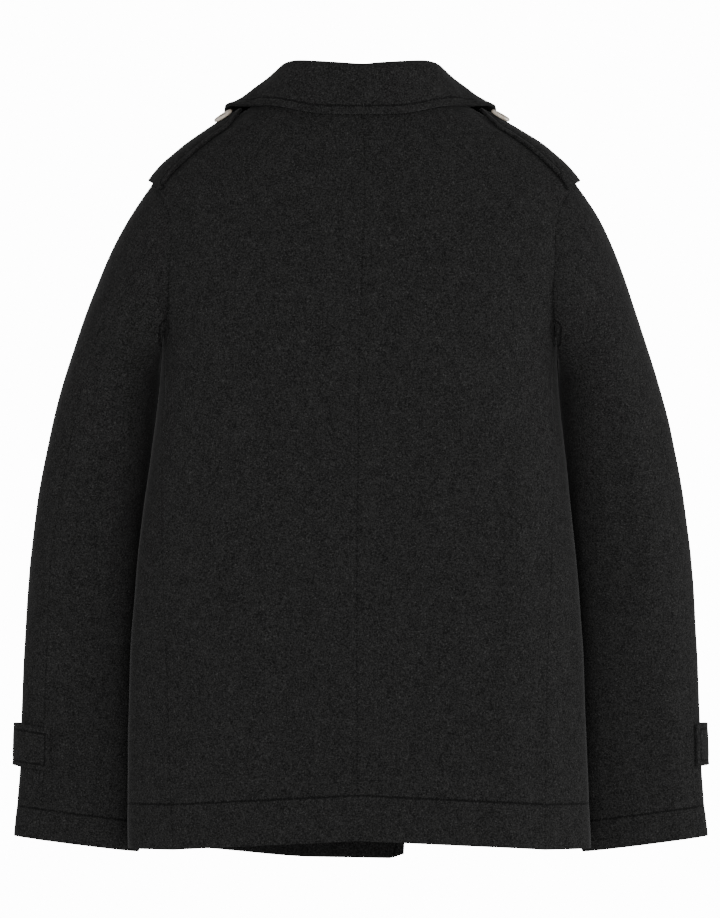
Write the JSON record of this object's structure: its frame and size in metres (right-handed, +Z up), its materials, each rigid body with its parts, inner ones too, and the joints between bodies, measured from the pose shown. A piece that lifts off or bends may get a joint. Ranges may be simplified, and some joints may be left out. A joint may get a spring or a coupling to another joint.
{
  "type": "pea coat",
  "caption": "Hip-length double-breasted wool coat with a turned-down collar, long sleeves, shoulder straps and cuff tabs, filled out as if worn.",
  "frame": {"origin": "middle of the back neck, where the collar is sewn to the back, at the height at which a wearer's neck and shoulders hold the coat up", "axes": "+Z up along the length of the coat, +X to the wearer's left along the shoulders and sleeves, +Y out through the middle of the back"},
  "size_m": [0.7016, 0.2469, 0.7924],
  "materials": {
    "melton": "matte napped",
    "melton_trim": "matte napped",
    "horn": "satin"
  },
  "bodies": {
    "root": {"back_left": "melton", "front_left": "melton", "under_sleeve_left": "melton", "top_sleeve_left": "melton", "lapel_left": "melton", "epaulette_left": "melton_trim", "epaulette_button_left": "horn", "cuff_tab_left": "melton_trim", "cuff_button_left": "horn", "back_right": "melton", "front_right": "melton", "under_sleeve_right": "melton", "top_sleeve_right": "melton", "lapel_right": "melton", "epaulette_right": "melton_trim", "epaulette_button_right": "horn", "cuff_tab_right": "melton_trim", "cuff_button_right": "horn", "collar": "melton", "front_button_right_1": "horn", "front_button_left_1": "horn", "front_button_right_2": "horn", "front_button_left_2": "horn", "front_button_right_3": "horn", "front_button_left_3": "horn"}
  },
  "joints": []
}
